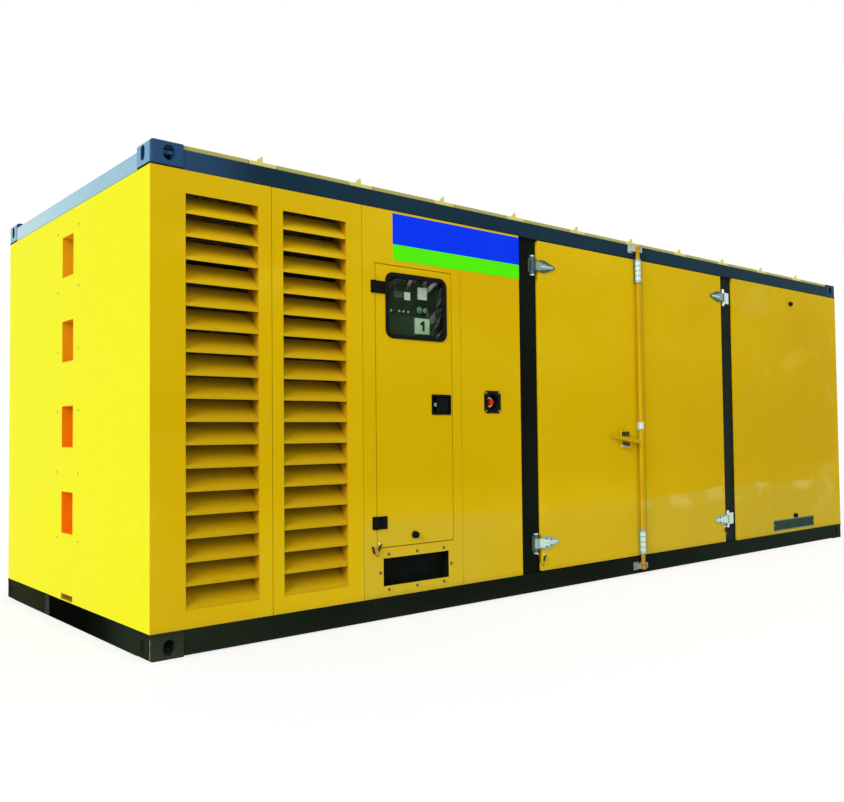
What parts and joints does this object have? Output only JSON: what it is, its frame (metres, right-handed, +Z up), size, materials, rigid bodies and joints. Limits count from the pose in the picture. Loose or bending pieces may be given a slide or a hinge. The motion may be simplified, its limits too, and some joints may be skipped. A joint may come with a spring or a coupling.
{
  "type": "containerised diesel generator",
  "caption": "Steel container for a diesel generator, with corner castings, louvred inlets, a glazed control door, and service doors held by a lock rod.",
  "frame": {"origin": "centre of the rectangle of the four bottom twist-lock apertures, on the plane the castings rest on", "axes": "+X along the box, away from the louvred end; +Y from the doors' side to the plain side; +Z up"},
  "size_m": [7.315, 2.4869, 2.622],
  "materials": {
    "black_paint": "gloss black-green paint",
    "yellow_paint": "gloss yellow paint",
    "floor_steel": "matt dark grey paint",
    "black_mesh": "black painted wire mesh",
    "cabinet_grey": "satin grey-green paint",
    "rubber": "black extruded rubber",
    "glass": "clear safety glass",
    "black_plastic": "moulded black plastic",
    "stop_yellow": "yellow plastic",
    "stop_red": "red plastic",
    "zinc": "bright zinc plate"
  },
  "bodies": {
    "root": {"bottom_castings": "black_paint", "top_castings": "black_paint", "casting_pads": "black_paint", "bottom_side_rails": "black_paint", "bottom_end_rails": "black_paint", "top_side_rails": "black_paint", "top_end_rails": "black_paint", "door_posts": "black_paint", "corner_posts": "yellow_paint", "floor_beams": "black_paint", "floor_plate": "floor_steel", "left_end_wall": "yellow_paint", "step_pockets": "yellow_paint", "right_end_wall": "yellow_paint", "front_louvre_walls": "yellow_paint", "front_louvre_blades": "yellow_paint", "louvre_boxes": "yellow_paint", "louvre_screens": "black_mesh", "control_wall": "yellow_paint", "service_wall": "yellow_paint", "right_wall": "yellow_paint", "back_walls": "yellow_paint", "back_louvre_blades": "yellow_paint", "roof_panels": "yellow_paint", "roof_straps": "yellow_paint", "gland_plate": "black_paint", "control_cabinet": "cabinet_grey", "instrument_panel": "cabinet_grey", "control_hinge_leaves": "black_paint", "stop_cup": "black_plastic", "stop_ring": "stop_yellow", "door_hinge_leaves": "zinc", "rod_keepers": "zinc"},
    "control_door": {"control_door": "yellow_paint", "control_hinge_straps": "black_paint", "window_gasket": "rubber", "window_glass": "glass", "latch_tray": "black_plastic"},
    "latch_paddle": {"latch_paddle": "black_plastic"},
    "stop_button": {"stop_button": "stop_red"},
    "left_door": {"left_door": "yellow_paint", "left_door_straps": "zinc", "handle_catch": "zinc"},
    "right_door": {"right_door": "yellow_paint", "right_door_straps": "zinc", "rod_guides": "zinc"},
    "lock_rod": {"lock_rod": "yellow_paint"}
  },
  "joints": [
    {"name": "control_door_swing", "type": "hinge", "parent": "root", "child": "control_door", "pos_m": [-2.2765, -1.225, 1.28], "axis": [0, 0, -1], "range_deg": [0, 110]},
    {"name": "latch_pull", "type": "hinge", "parent": "control_door", "child": "latch_paddle", "pos_m": [-1.7885, -1.208, 1.285], "axis": [0, 0, -1], "range_deg": [0, 40], "stiffness_Nm_per_rad": 1},
    {"name": "stop_press", "type": "slide", "parent": "root", "child": "stop_button", "axis": [0, 1, 0], "range_m": [0, 0.005], "stiffness_N_per_m": 800},
    {"name": "left_door_swing", "type": "hinge", "parent": "root", "child": "left_door", "pos_m": [-0.8935, -1.207, 1.3], "axis": [0, 0, -1], "range_deg": [0, 120]},
    {"name": "right_door_swing", "type": "hinge", "parent": "root", "child": "right_door", "pos_m": [1.5435, -1.207, 1.3], "axis": [0, 0, 1], "range_deg": [0, 120]},
    {"name": "rod_turn", "type": "hinge", "parent": "right_door", "child": "lock_rod", "pos_m": [0.2725, -1.244, 1.02], "axis": [0, 0, 1], "range_deg": [0, 90]}
  ]
}
